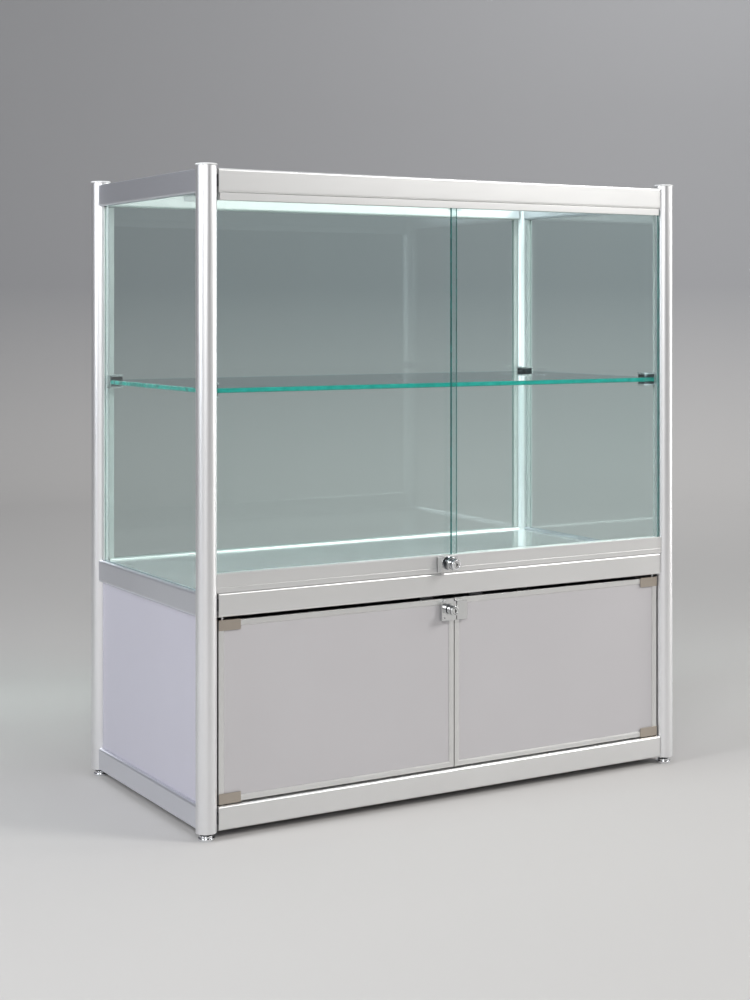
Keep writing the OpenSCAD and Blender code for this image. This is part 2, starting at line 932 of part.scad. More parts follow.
// The strike on the right door: a face plate on a frame that the bolt enters
module door_lock_strike() {
    room_w = bolt_travel + 2;
    frame_front = lock_front + lock_skin + seat;
    color([0.8, 0.8, 0.82])
        translate([0, front_y, 0]) {
            translate([lock_split, lock_front, lock_z])
                cube([strike_w, lock_skin, lock_h]);
            difference() {
                translate([lock_split, frame_front, lock_z])
                    cube([strike_w, lock_back - frame_front, lock_h]);
                bolt_room(lock_split - cut, lock_split + room_w, frame_front - cut, lock_back + cut);
            }
        }
}

post_front_left();
post_front_right();
post_back_left();
post_back_right();
post_caps();
foot_inserts();
foot_front_left();
foot_front_right();
foot_back_left();
foot_back_right();
top_rail_front();
top_rail_back();
top_rail_left();
top_rail_right();
middle_rail_front();
middle_rail_back();
middle_rail_left();
middle_rail_right();
bottom_rail_front();
bottom_rail_back();
bottom_rail_left();
bottom_rail_right();
rail_connectors();
top_track();
lower_track();
left_glass();
right_glass();
back_glass();
top_glass();
top_glass_rests();
glazing_channels();
glass_shelf();
shelf_clips();
deck_board();
base_board();
board_brackets();
left_panel();
right_panel();
back_panel();
left_sliding_glass();
right_sliding_glass();
left_glides();
right_glides();
left_door_panel();
left_door_trim();
left_door_hinges();
right_door_panel();
right_door_trim();
right_door_hinges();
pivot_bushes();
door_stops();
push_lock_bracket();
push_lock_barrel();
push_lock_plug();
door_lock_body();
door_lock_cover();
door_lock_plug();
door_lock_bolt();
door_lock_strike();
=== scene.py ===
"""A floor-standing glass display case: the looks of every piece, built round its CAD model.

Metres, +Z up, the case's front faces -Y. Places and overall sizes come from the CAD nodes' boxes.
Small details, such as rounded edges, grooves and screws, are sized here.
"""

import json
import math

import bmesh
import bpy
from mathutils import Matrix, Vector


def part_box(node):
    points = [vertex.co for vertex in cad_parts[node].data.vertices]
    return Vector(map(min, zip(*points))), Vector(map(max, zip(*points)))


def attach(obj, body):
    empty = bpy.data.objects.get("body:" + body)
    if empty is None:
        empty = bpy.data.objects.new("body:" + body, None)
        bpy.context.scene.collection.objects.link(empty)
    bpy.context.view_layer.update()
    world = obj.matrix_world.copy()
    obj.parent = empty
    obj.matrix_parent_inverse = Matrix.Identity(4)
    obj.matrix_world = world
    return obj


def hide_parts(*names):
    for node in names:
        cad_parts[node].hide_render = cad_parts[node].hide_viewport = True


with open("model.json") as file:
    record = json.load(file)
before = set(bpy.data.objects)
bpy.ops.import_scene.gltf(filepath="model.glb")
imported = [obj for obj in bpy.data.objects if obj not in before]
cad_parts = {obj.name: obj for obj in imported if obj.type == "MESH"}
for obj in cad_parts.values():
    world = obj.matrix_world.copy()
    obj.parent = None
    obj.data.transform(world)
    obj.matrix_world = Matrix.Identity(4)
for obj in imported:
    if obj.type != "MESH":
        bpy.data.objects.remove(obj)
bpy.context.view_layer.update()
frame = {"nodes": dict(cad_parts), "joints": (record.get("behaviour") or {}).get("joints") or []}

MM = 0.001
# A small step that keeps two faces out of one plane
TINY = 0.0003
FRONT = Vector((0, -1, 0))
SIDES = ("left", "right")
SCENE = bpy.context.scene


# ---------------------------------------------------------------- materials


def material(name):
    """An empty node material and its Principled shader."""
    made = bpy.data.materials.new(name)
    made.use_nodes = True
    made.node_tree.nodes.clear()
    shader = made.node_tree.nodes.new("ShaderNodeBsdfPrincipled")
    output = made.node_tree.nodes.new("ShaderNodeOutputMaterial")
    made.node_tree.links.new(shader.outputs["BSDF"], output.inputs["Surface"])
    return made, shader


def noise(made, scale, stretch=(1, 1, 1), detail=3.0):
    """Noise in the piece's own space, in cells per metre, drawn out along an axis by a small stretch."""
    nodes, links = made.node_tree.nodes, made.node_tree.links
    place = nodes.new("ShaderNodeTexCoord")
    mapping = nodes.new("ShaderNodeMapping")
    texture = nodes.new("ShaderNodeTexNoise")
    mapping.inputs["Scale"].default_value = [scale * s for s in stretch]
    texture.inputs["Scale"].default_value = 1.0
    texture.inputs["Detail"].default_value = detail
    links.new(place.outputs["Object"], mapping.inputs["Vector"])
    links.new(mapping.outputs["Vector"], texture.inputs["Vector"])
    return texture.outputs["Fac"]


def spread(made, source, low, high):
    """Maps the middle of a noise to low..high."""
    ranged = made.node_tree.nodes.new("ShaderNodeMapRange")
    ranged.inputs["From Min"].default_value = 0.3
    ranged.inputs["From Max"].default_value = 0.7
    ranged.inputs["To Min"].default_value = low
    ranged.inputs["To Max"].default_value = high
    made.node_tree.links.new(source, ranged.inputs["Value"])
    return ranged.outputs["Result"]


def blend_colours(made, source, first, second):
    """Runs from the first colour to the second with a noise."""
    ramp = made.node_tree.nodes.new("ShaderNodeValToRGB")
    ramp.color_ramp.elements[0].position = 0.3
    ramp.color_ramp.elements[1].position = 0.7
    ramp.color_ramp.elements[0].color = (*first, 1)
    ramp.color_ramp.elements[1].color = (*second, 1)
    made.node_tree.links.new(source, ramp.inputs["Fac"])
    return ramp.outputs["Color"]


def bump(made, shader, source, height, strength=1.0):
    """Raises the surface by height metres where the noise is high."""
    node = made.node_tree.nodes.new("ShaderNodeBump")
    node.inputs["Distance"].default_value = height
    node.inputs["Strength"].default_value = strength
    made.node_tree.links.new(source, node.inputs["Height"])
    made.node_tree.links.new(node.outputs["Normal"], shader.inputs["Normal"])


def shade(colour, factor):
    """A colour made lighter or darker by a factor."""
    return tuple(min(1.0, c * factor) for c in colour)


def metal(name, colour, rough, along=None, lines=900, cloud=6, vary=0.05, relief=2e-6):
    """Metal with fine lines along an axis (0, 1 or 2), or with an even fine grain."""
    drawn_out = 0.004
    made, shader = material(name)
    stretch = [1.0, 1.0, 1.0]
    if along is not None:
        stretch[along] = drawn_out
    grain = noise(made, lines, stretch, 4.0)
    clouds = noise(made, cloud, detail=2.0)
    links = made.node_tree.links
    colours = blend_colours(made, clouds, shade(colour, 0.97), shade(colour, 1.03))
    links.new(colours, shader.inputs["Base Color"])
    links.new(spread(made, grain, rough - vary, rough + vary), shader.inputs["Roughness"])
    shader.inputs["Metallic"].default_value = 1.0
    bump(made, shader, grain, relief)
    return made


def board(name, colour, rough, grain_scale, relief, coat=0.0):
    """A laminate or moulded surface: faint mottling, a fine pearl grain, and a little gloss."""
    made, shader = material(name)
    fine = noise(made, grain_scale, detail=4.0)
    broad = noise(made, 5, detail=3.0)
    links = made.node_tree.links
    colours = blend_colours(made, broad, shade(colour, 0.985), shade(colour, 1.015))
    links.new(colours, shader.inputs["Base Color"])
    links.new(spread(made, fine, rough - 0.05, rough + 0.05), shader.inputs["Roughness"])
    shader.inputs["Coat Weight"].default_value = coat
    shader.inputs["Coat Roughness"].default_value = 0.08
    bump(made, shader, fine, relief)
    return made


def clear_glass(name, low, high):
    """Clear float glass with a faint green cast. Lamps shine through it."""
    lamp_tint = (0.92, 0.97, 0.96, 1)
    made, shader = material(name)
    nodes, links = made.node_tree.nodes, made.node_tree.links
    links.new(blend_colours(made, noise(made, 3), low, high), shader.inputs["Base Color"])
    shader.inputs["Roughness"].default_value = 0.0
    shader.inputs["IOR"].default_value = 1.5
    shader.inputs["Transmission Weight"].default_value = 1.0
    path = nodes.new("ShaderNodeLightPath")
    pass_light = nodes.new("ShaderNodeBsdfTransparent")
    pass_light.inputs["Color"].default_value = lamp_tint
    mix = nodes.new("ShaderNodeMixShader")
    output = next(n for n in nodes if n.type == "OUTPUT_MATERIAL")
    links.new(path.outputs["Is Shadow Ray"], mix.inputs["Fac"])
    links.new(shader.outputs["BSDF"], mix.inputs[1])
    links.new(pass_light.outputs["BSDF"], mix.inputs[2])
    links.new(mix.outputs["Shader"], output.inputs["Surface"])
    return made


def glass_edge(name, dark, light):
    """A pane's polished edge, where the green of the glass gathers."""
    made, shader = material(name)
    links = made.node_tree.links
    streaks = noise(made, 60, detail=3.0)
    links.new(blend_colours(made, streaks, dark, light), shader.inputs["Base Color"])
    links.new(spread(made, streaks, 0.08, 0.16), shader.inputs["Roughness"])
    shader.inputs["IOR"].default_value = 1.5
    shader.inputs["Transmission Weight"].default_value = 0.35
    shader.inputs["Coat Weight"].default_value = 0.6
    return made


FINE_LINES = {"lines": 2600, "cloud": 3, "vary": 0.03, "relief": 1e-6}
SMOOTH = {"lines": 500, "vary": 0.03, "relief": 5e-7}
POST = metal("post_anodised", (0.87, 0.87, 0.88), 0.40, along=2, **FINE_LINES)
RAIL_X = metal("rail_anodised_long", (0.84, 0.84, 0.835), 0.42, along=0, **FINE_LINES)
# The side rails' copy of the rail metal is painted darker and bluer: painted cool shade
RAIL_Y_COOL_SHADE = metal("rail_anodised_short_cool_shade", (0.81, 0.82, 0.87), 0.42, along=1, **FINE_LINES)
TRIM = metal("trim_anodised", (0.80, 0.80, 0.79), 0.38)
# The channels are white plastic, painted mid-grey as painted shade
CHANNEL_PAINTED_SHADE = board("channel_white_painted_shade", (0.44, 0.45, 0.445), 0.35, 900, 1e-6, coat=0.2)
CAP = board("cap_plastic", (0.80, 0.81, 0.81), 0.28, 1200, 2e-6, coat=0.3)
CHROME = metal("chrome", (0.80, 0.81, 0.83), 0.08, **SMOOTH)
# Chrome painted dark: painted shade in the barrels' grooves and necks
RECESS_SHADE_CHROME = metal("recess_shade_chrome", (0.22, 0.23, 0.25), 0.16, lines=500, vary=0.04, relief=5e-7)
CLIP_CHROME = metal("clip_chrome", (0.88, 0.89, 0.90), 0.26, **SMOOTH)
SATIN_CHROME = metal("satin_chrome", (0.66, 0.67, 0.67), 0.20, vary=0.04)
NICKEL = metal("hinge_nickel", (0.50, 0.445, 0.385), 0.36, along=0, lines=1400)
PLATED = metal("plated_steel", (0.66, 0.66, 0.67), 0.38)
STEEL_DARK = metal("stem_steel", (0.28, 0.28, 0.30), 0.38)
ZINC = metal("zinc_casting", (0.42, 0.43, 0.45), 0.5, relief=1e-5)
KEYWAY = board("keyway_shadow", (0.015, 0.015, 0.017), 0.6, 900, 2e-6)
DARK_NYLON = board("dark_nylon", (0.04, 0.04, 0.045), 0.5, 900, 4e-6)
WHITE_NYLON = board("white_nylon", (0.78, 0.78, 0.75), 0.45, 900, 3e-6)
DOOR = board("door_laminate", (0.515, 0.500, 0.512), 0.42, 1600, 6e-6, coat=0.12)
# The panels' copy of the door laminate is painted bluer: a painted cool cast of light
PANEL_COOL_LIGHT = board("panel_laminate", (0.515, 0.505, 0.575), 0.42, 1600, 6e-6, coat=0.12)
DECK = board("deck_laminate", (0.40, 0.405, 0.40), 0.14, 1200, 1e-6, coat=0.4)
GLASS = clear_glass("clear_glass", (0.865, 0.945, 0.938), (0.880, 0.952, 0.945))
SHELF_GLASS = clear_glass("shelf_glass", (0.88, 0.965, 0.95), (0.89, 0.97, 0.955))
EDGE = glass_edge("pane_edge", (0.01, 0.12, 0.115), (0.03, 0.24, 0.22))
SHELF_EDGE = glass_edge("shelf_edge", (0.005, 0.28, 0.235), (0.03, 0.42, 0.36))


# ---------------------------------------------------------------- mesh helpers


def finish_mesh(name, bm, body, slot, nodes, *materials, angle=32):
    """Turns a bmesh into a piece that rides on a body and stands for CAD nodes."""
    bmesh.ops.recalc_face_normals(bm, faces=bm.faces)
    mesh = bpy.data.meshes.new(name)
    bm.to_mesh(mesh)
    bm.free()
    for m in materials:
        mesh.materials.append(m)
    mesh.polygons.foreach_set("use_smooth", [True] * len(mesh.polygons))
    mesh.set_sharp_from_angle(angle=math.radians(angle))
    piece = bpy.data.objects.new(name, mesh)
    weighted = piece.modifiers.new("weighted", "WEIGHTED_NORMAL")
    weighted.keep_sharp = True
    SCENE.collection.objects.link(piece)
    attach(piece, body)
    if nodes:
        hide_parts(*nodes)
    return piece


def merge(bm, part, index=0, matrix=None):
    """Adds one bmesh to another, with one material index, or with its own where index is None."""
    if matrix is not None:
        part.transform(matrix)
    if index is not None:
        for f in part.faces:
            f.material_index = index
    mesh = bpy.data.meshes.new("part")
    part.to_mesh(mesh)
    part.free()
    bm.from_mesh(mesh)
    bpy.data.meshes.remove(mesh)


def round_edges(part, width, segments=2, pick=None):
    """Rounds all of a part's edges, or only those that pick chooses."""
    edges = [e for e in part.edges if pick is None or pick(e)]
    bmesh.ops.bevel(
        part, geom=edges, offset=width, segments=segments, profile=0.6, affect="EDGES"
    )


def add_block(bm, low, high, width=0.4 * MM, index=0, segments=2):
    """A box with rounded edges."""
    low, high = Vector(low), Vector(high)
    part = bmesh.new()
    size = high - low
    bmesh.ops.create_cube(part, size=1.0)
    part.transform(Matrix.Translation((low + high) / 2) @ Matrix.Diagonal((*size, 1)))
    if width:
        round_edges(part, min(width, 0.45 * min(size)), segments)
    merge(bm, part, index)


def axis_matrix(place, direction):
    """Puts a lathe's +Z along a direction at a place."""
    turn = Vector(direction).to_track_quat("Z", "Y").to_matrix().to_4x4()
    return Matrix.Translation(place) @ turn


def circle(radius, count):
    """Points evenly spaced round the origin."""
    angles = [math.tau * k / count for k in range(count)]
    return [(radius * math.cos(a), radius * math.sin(a)) for a in angles]


def bridge(part, low, high):
    """Makes the faces between two rings of points. A ring of one point is a cone's tip."""
    count = max(len(low), len(high))
    faces = []
    for k in range(count):
        n = (k + 1) % count
        if len(low) == 1:
            corners = (low[0], high[n], high[k])
        elif len(high) == 1:
            corners = (low[k], low[n], high[0])
        else:
            corners = (low[k], low[n], high[n], high[k])
        faces.append(part.faces.new(corners))
    return faces


def add_lathe(bm, profile, place, direction=(0, 0, 1), index=0, segments=64):
    """Turns (radius, height) points round an axis. A radius of 0 closes the end."""
    part = bmesh.new()
    rings = []
    for radius, height in profile:
        outline = [(0, 0)] if radius == 0 else circle(radius, segments)
        rings.append([part.verts.new((x, y, height)) for x, y in outline])
    for low, high in zip(rings, rings[1:]):
        bridge(part, low, high)
    merge(bm, part, index, axis_matrix(place, direction))


def soft_corner(radius, height, r, up=True, steps=4):
    """Points of a quarter round between a side and a top, or a bottom and a side."""
    points = []
    for k in range(steps + 1):
        a = math.pi / 2 * k / steps
        if up:
            points.append((radius - r + r * math.cos(a), height - r + r * math.sin(a)))
        else:
            points.append((radius - r + r * math.sin(a), height + r - r * math.cos(a)))
    return points


def fill_between(part, outer, inner):
    """Fills the flat face between an outline and the hole in it."""
    edges = []
    for loop in (outer, inner):
        for a, b in zip(loop, loop[1:] + loop[:1]):
            edges.append(part.edges.new((a, b)))
    filled = bmesh.ops.triangle_fill(part, use_beauty=True, edges=edges)
    return [g for g in filled["geom"] if isinstance(g, bmesh.types.BMFace)]


def extrude(part, faces, offset):
    """Moves a copy of some faces by an offset, with walls between."""
    moved = bmesh.ops.extrude_face_region(part, geom=faces)
    verts = [v for v in moved["geom"] if isinstance(v, bmesh.types.BMVert)]
    bmesh.ops.translate(part, verts=verts, vec=offset)


def keyway_outline():
    """An upright slot with a notch on its right."""
    half_w, half_h, notch = 0.8 * MM, 3.5 * MM, 2.72 * MM
    return [
        (-half_w, -half_h), (half_w, -half_h), (half_w, -notch / 2), (notch, -notch / 2),
        (notch, notch / 2), (half_w, notch / 2), (half_w, half_h), (-half_w, half_h),
    ]


def add_key_plug(bm, radius, length, place):
    """A key plug that points along -Y: a disc with a keyway, of the second material, in its face."""
    sides, chamfer, depth = 48, 0.4 * MM, 3.5 * MM
    part = bmesh.new()
    face = [part.verts.new((x, y, 0)) for x, y in circle(radius - chamfer, sides)]
    rim = [part.verts.new((x, y, 0)) for x, y in keyway_outline()]
    fill_between(part, face, rim)
    bottom = [part.verts.new((x, y, -depth)) for x, y in keyway_outline()]
    sunk = bridge(part, rim, bottom)
    sunk.append(part.faces.new(bottom))
    rings = [face]
    for z in (-chamfer, -length):
        rings.append([part.verts.new((x, y, z)) for x, y in circle(radius, sides)])
    for low, high in zip(rings, rings[1:]):
        bridge(part, low, high)
    part.faces.new(rings[-1])
    bmesh.ops.recalc_face_normals(part, faces=part.faces)
    dark = set(sunk)
    for f in part.faces:
        f.material_index = 1 if f in dark else 0
    merge(bm, part, None, axis_matrix(place, FRONT))


def add_bored_plate(bm, low, high, centre, radius, width):
    """A plate across Y with a round bore through it and rounded outer edges."""
    sides, same_place, hard = 48, 1e-7, 0.5
    part = bmesh.new()
    corners = [(low.x, low.z), (high.x, low.z), (high.x, high.z), (low.x, high.z)]
    outer = [part.verts.new((x, low.y, z)) for x, z in corners]
    bore = [
        part.verts.new((centre[0] + x, low.y, centre[1] + z)) for x, z in circle(radius, sides)
    ]
    extrude(part, fill_between(part, outer, bore), (0, high.y - low.y, 0))
    bmesh.ops.recalc_face_normals(part, faces=part.faces)
    at_corner = {
        v for v in part.verts
        if any(abs(v.co.x - x) < same_place and abs(v.co.z - z) < same_place for x, z in corners)
    }
    round_edges(
        part, width, 3,
        lambda e: set(e.verts) <= at_corner and len(e.link_faces) == 2
        and e.calc_face_angle(0) > hard,
    )
    merge(bm, part)


def add_screw(bm, place, radius):
    """A small domed screw head that points along -Y. Its hexagon socket has the second material."""
    head = radius * 0.55
    dome = [(radius, 0), (radius, head * 0.35)]
    dome += soft_corner(radius, head, head * 0.6)
    dome += [(radius * 0.5, head)]
    add_lathe(bm, dome, place, FRONT, 0, 32)
    socket = [(radius * 0.5, head), (radius * 0.46, head * 0.35), (0, head * 0.3)]
    add_lathe(bm, socket, place, FRONT, 1, 6)


# ---------------------------------------------------------------- CAD nodes that stay


def paint(node, made):
    """Gives a CAD node its material."""
    target = frame["nodes"][node].data
    target.materials.clear()
    target.materials.append(made)


def rounded_copy(node, name, body, slot, made, width):
    """A piece with a CAD node's shape whose hard edges are rounded, so that they catch the light."""
    source = frame["nodes"][node]
    bm = bmesh.new()
    bm.from_mesh(source.data)
    bm.transform(source.matrix_world)
    bmesh.ops.remove_doubles(bm, verts=bm.verts, dist=1e-6)
    bmesh.ops.dissolve_limit(
        bm, angle_limit=math.radians(1), verts=bm.verts, edges=bm.edges, delimit={"NORMAL"}
    )
    hard = math.radians(40)
    round_edges(bm, width, 2, lambda e: e.is_manifold and e.calc_face_angle(0) > hard)
    bmesh.ops.triangulate(bm, faces=[f for f in bm.faces if len(f.verts) > 4])
    return finish_mesh(name, bm, body, slot, [node], made, angle=50)


POSTS = ["post_front_left", "post_front_right", "post_back_left", "post_back_right"]
LEVELS = ["top", "middle", "bottom"]
PAINT = {
    "foot_inserts": DARK_NYLON,
    "rail_connectors": ZINC,
    "top_glass_rests": PLATED,
    "deck_board": DECK,
    # The panels and the base board take the laminate with the painted cool cast of light.
    "base_board": PANEL_COOL_LIGHT,
    "board_brackets": PLATED,
    "left_panel": PANEL_COOL_LIGHT,
    "right_panel": PANEL_COOL_LIGHT,
    "back_panel": PANEL_COOL_LIGHT,
    "left_glides": WHITE_NYLON,
    "right_glides": WHITE_NYLON,
    "left_door_panel": DOOR,
    "right_door_panel": DOOR,
    "pivot_bushes": DARK_NYLON,
    "door_stops": DARK_NYLON,
    "door_lock_cover": PLATED,
    "door_lock_bolt": PLATED,
}
for node in POSTS:
    PAINT[node] = POST
for level in LEVELS:
    for end in ("front", "back"):
        PAINT[f"{level}_rail_{end}"] = RAIL_X
    # The side rails take the copy with painted cool shade.
    for end in SIDES:
        PAINT[f"{level}_rail_{end}"] = RAIL_Y_COOL_SHADE
for node, made in PAINT.items():
    paint(node, made)

rounded_copy("lower_track", "lower_track_bar", "frame", "rail_aluminium", RAIL_X, 0.4 * MM)
rounded_copy("top_track", "top_track_bar", "frame", "rail_aluminium", RAIL_X, 0.3 * MM)
# The white channels carry painted shade: their colour is mid-grey.
rounded_copy("glazing_channels", "glazing_channel_set", "frame", "white_channel", CHANNEL_PAINTED_SHADE, 0.4 * MM)


# ---------------------------------------------------------------- glass


def mark_edges(bm, thin):
    """Gives a pane's rim the second material. Its two broad faces keep the first."""
    for f in bm.faces:
        f.material_index = 0 if abs(f.normal[thin]) > 0.99 else 1


def add_pane(name, node, body, clear=GLASS, edge=EDGE, arris=0.7 * MM):
    """A flat pane with ground edges. Its thin direction comes from the CAD node's box."""
    low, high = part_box(node)
    size = high - low
    thin = min(range(3), key=lambda k: size[k])
    bm = bmesh.new()
    add_block(bm, low, high, arris, segments=1)
    mark_edges(bm, thin)
    finish_mesh(name, bm, body, "clear_glass", [node], clear, edge, angle=20)


def arc_round_post(centre, limit, radius):
    """The cut round a post, between the two limits of the pane there."""
    steps = 12
    (cx, cy), (lx, ly) = centre, limit
    dx, dy = abs(lx - cx), abs(ly - cy)
    on_y = math.atan2(math.sqrt(radius**2 - dx**2), dx)
    on_x = math.atan2(dy, math.sqrt(radius**2 - dy**2))
    sx, sy = math.copysign(1, lx - cx), math.copysign(1, ly - cy)
    arc = []
    for k in range(steps + 1):
        a = on_y + (on_x - on_y) * k / steps
        arc.append((cx + sx * radius * math.cos(a), cy + sy * radius * math.sin(a)))
    if sx * sy < 0:
        arc.reverse()
    return arc


def add_top_pane():
    """The top pane, cut round the four posts."""
    clearance = 0.5 * MM
    low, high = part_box("top_glass")
    front_low, front_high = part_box("post_front_left")
    back_low, back_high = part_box("post_back_right")
    radius = (front_high.x - front_low.x) / 2 + clearance
    first = (front_low + front_high) / 2
    last = (back_low + back_high) / 2
    centres = [(first.x, first.y), (last.x, first.y), (last.x, last.y), (first.x, last.y)]
    limits = [(low.x, low.y), (high.x, low.y), (high.x, high.y), (low.x, high.y)]
    outline = []
    for centre, limit in zip(centres, limits):
        outline += arc_round_post(centre, limit, radius)
    part = bmesh.new()
    base = part.faces.new([part.verts.new((x, y, low.z)) for x, y in outline])
    extrude(part, [base], (0, 0, high.z - low.z))
    bm = bmesh.new()
    merge(bm, part)
    bmesh.ops.recalc_face_normals(bm, faces=bm.faces)
    mark_edges(bm, 2)
    finish_mesh("top_pane", bm, "frame", "clear_glass", ["top_glass"], GLASS, EDGE, angle=20)


for side in SIDES:
    add_pane(f"{side}_pane", f"{side}_glass", "frame")
    add_pane(f"{side}_sliding_pane", f"{side}_sliding_glass", f"sliding_door_{side}")
add_pane("back_pane", "back_glass", "frame")
add_pane("shelf_pane", "glass_shelf", "frame", SHELF_GLASS, SHELF_EDGE, 1.0 * MM)
add_top_pane()


# ---------------------------------------------------------------- posts' caps and feet


def post_centres():
    """Name suffix and middle of each post."""
    found = []
    for node in POSTS:
        low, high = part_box(node)
        found.append((node[5:], (low + high) / 2))
    return found


def add_caps():
    """A low domed cap on each post, with a plug inside the tube."""
    low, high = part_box("post_caps")
    post_low, post_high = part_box(POSTS[0])
    cap_r = post_low.x - low.x + (post_high.x - post_low.x) / 2
    plug_r = cap_r - 3.2 * MM
    dome, edge, shoulder, chamfer, steps = 0.7 * MM, 0.5 * MM, 1.6 * MM, 0.8 * MM, 6
    base = post_high.z + TINY
    side_top = high.z - dome
    profile = [(0, low.z), (plug_r - chamfer, low.z), (plug_r, low.z + chamfer)]
    profile += [(plug_r, base), (cap_r - edge, base), (cap_r, base + edge)]
    profile += soft_corner(cap_r, side_top, shoulder, steps=steps)
    for k in range(1, steps):
        share = k / steps
        rise = dome * math.sin(share * math.pi / 2)
        profile.append(((cap_r - shoulder) * (1 - share), side_top + rise))
    profile.append((0, side_top + dome))
    bm = bmesh.new()
    for _, centre in post_centres():
        add_lathe(bm, profile, (centre.x, centre.y, 0))
    finish_mesh("post_cap_set", bm, "frame", "cap_plastic", ["post_caps"], CAP, angle=40)


def add_foot(suffix, centre):
    """A turned levelling foot: a pad in two rounded steps, and a stem with rings like a thread."""
    node = f"foot_{suffix}"
    low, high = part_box(node)
    pad_r = (high.x - low.x) / 2
    # the two steps' diameters are as 27 to 22
    step_r = pad_r * 22 / 27
    step, soft = 4.4 * MM, 0.7 * MM
    stem_r, pitch, groove, sunk = 4.95 * MM, 1.5 * MM, 0.7 * MM, 0.2 * MM
    middle, top = low.z + step, low.z + 2 * step
    bm = bmesh.new()
    pad = [(0, low.z), (pad_r - soft, low.z)]
    pad += soft_corner(pad_r, low.z, soft, up=False)
    pad += soft_corner(pad_r, middle, soft)
    pad += [(step_r + 0.9 * MM, middle), (step_r - 0.3 * MM, middle + 0.3 * MM)]
    pad += soft_corner(step_r, top, 1.2 * MM)
    pad += [(stem_r + 1.2 * MM, top), (stem_r - 0.6 * MM, top - sunk)]
    add_lathe(bm, pad, (centre.x, centre.y, 0))
    thread = []
    z = top - sunk
    while z < high.z - pitch:
        thread += [(stem_r - groove, z), (stem_r, z + pitch / 2)]
        z += pitch
    thread += [(stem_r - groove, z), (stem_r - 1.2 * MM, high.z), (0, high.z)]
    add_lathe(bm, thread, (centre.x, centre.y, 0), index=1, segments=40)
    front_back, left_right = suffix.split("_")
    body = f"foot_{front_back[0]}{left_right[0]}"
    finish_mesh(f"levelling_{node}", bm, body, "chrome", [node], CHROME, STEEL_DARK)


add_caps()
for suffix, centre in post_centres():
    add_foot(suffix, centre)


# ---------------------------------------------------------------- shelf clips


def add_shelf_clips():
    """A chromed clip on each corner of the shelf: two thin jaws, each on a smaller pad, and a web."""
    low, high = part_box("shelf_clips")
    shelf_low, shelf_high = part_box("glass_shelf")
    length, depth, web, jaw, inset = 27 * MM, 22 * MM, 2 * MM, 3.4 * MM, 1.6 * MM
    pad_t = 0.2 * MM
    bm = bmesh.new()
    for sx in (-1, 1):
        x0 = low.x if sx < 0 else high.x
        xs = sorted((x0, x0 - sx * length))
        web_x = sorted((x0, x0 - sx * web))
        pad_x = sorted((x0 - sx * web, x0 - sx * (length - inset)))
        for sy in (-1, 1):
            y0 = low.y if sy < 0 else high.y
            ys = sorted((y0, y0 - sy * depth))
            pad_y = (ys[0] + inset, ys[1] - inset)
            for zs, pad_z in (
                ((low.z, low.z + jaw), (low.z + jaw - MM, shelf_low.z - pad_t)),
                ((high.z - jaw, high.z), (shelf_high.z + pad_t, high.z - jaw + MM)),
            ):
                add_block(bm, (xs[0], ys[0], zs[0]), (xs[1], ys[1], zs[1]), 0.9 * MM, segments=3)
                add_block(
                    bm, (pad_x[0], pad_y[0], pad_z[0]), (pad_x[1], pad_y[1], pad_z[1]), 0.3 * MM, 1
                )
            add_block(
                bm, (web_x[0], ys[0] + 0.3 * MM, low.z + MM), (web_x[1], ys[1] - 0.3 * MM, high.z - MM),
                0.3 * MM,
            )
    finish_mesh("shelf_clip_set", bm, "frame", "chrome", ["shelf_clips"], CLIP_CHROME, RECESS_SHADE_CHROME)


add_shelf_clips()


# ---------------------------------------------------------------- door trims


def trim_section(front, back, seat_front, seat_back):
    """A trim bar's section, as (way in from the door's edge, y), with a seat for the panel."""
    width, lip, step, soft = 10 * MM, 2 * MM, 0.6 * MM, 0.5 * MM
    return [
        (0, back - soft), (0, front + soft), (soft * 0.3, front + soft * 0.3), (soft, front),
        (width - 2 * MM, front), (width - 1.7 * MM, front + step), (width - soft * 0.5, front + step),
        (width, front + step + soft * 0.5), (width, seat_front), (lip, seat_front),
        (lip, seat_back), (width, seat_back), (width, back - soft), (width - soft, back),
        (soft, back), (soft * 0.3, back - soft * 0.3),
    ]


def add_trim(side):
    """Four mitred bars round a door's panel, each with a small step along its inner edge."""
    node = f"{side}_door_trim"
    low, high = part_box(node)
    panel_low, panel_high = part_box(f"{side}_door_panel")
    gap, mitre = 0.2 * MM, 0.05 * MM
    section = trim_section(low.y, high.y, panel_low.y - gap, panel_high.y + gap)
    corners = [
        (low.x, low.z, 1, 1), (high.x, low.z, -1, 1),
        (high.x, high.z, -1, -1), (low.x, high.z, 1, -1),
    ]
    bm = bmesh.new()
    for k, (along_x, along_z) in enumerate([(1, 0), (0, 1), (-1, 0), (0, -1)]):
        part = bmesh.new()
        rings = []
        for corner, shift in ((corners[k], mitre), (corners[(k + 1) % 4], -mitre)):
            x, z, inward_x, inward_z = corner
            x += along_x * shift
            z += along_z * shift
            rings.append([
                part.verts.new((x + inward_x * d, y, z + inward_z * d)) for d, y in section
            ])
        bridge(part, *rings)
        for ring in rings:
            part.faces.new(ring)
        merge(bm, part)
    bmesh.ops.triangulate(bm, faces=[f for f in bm.faces if len(f.verts) > 4])
    finish_mesh(f"{side}_door_edge_trim", bm, f"door_{side}", "trim_aluminium", [node], TRIM)


for side in SIDES:
    add_trim(side)


# ---------------------------------------------------------------- door hinges


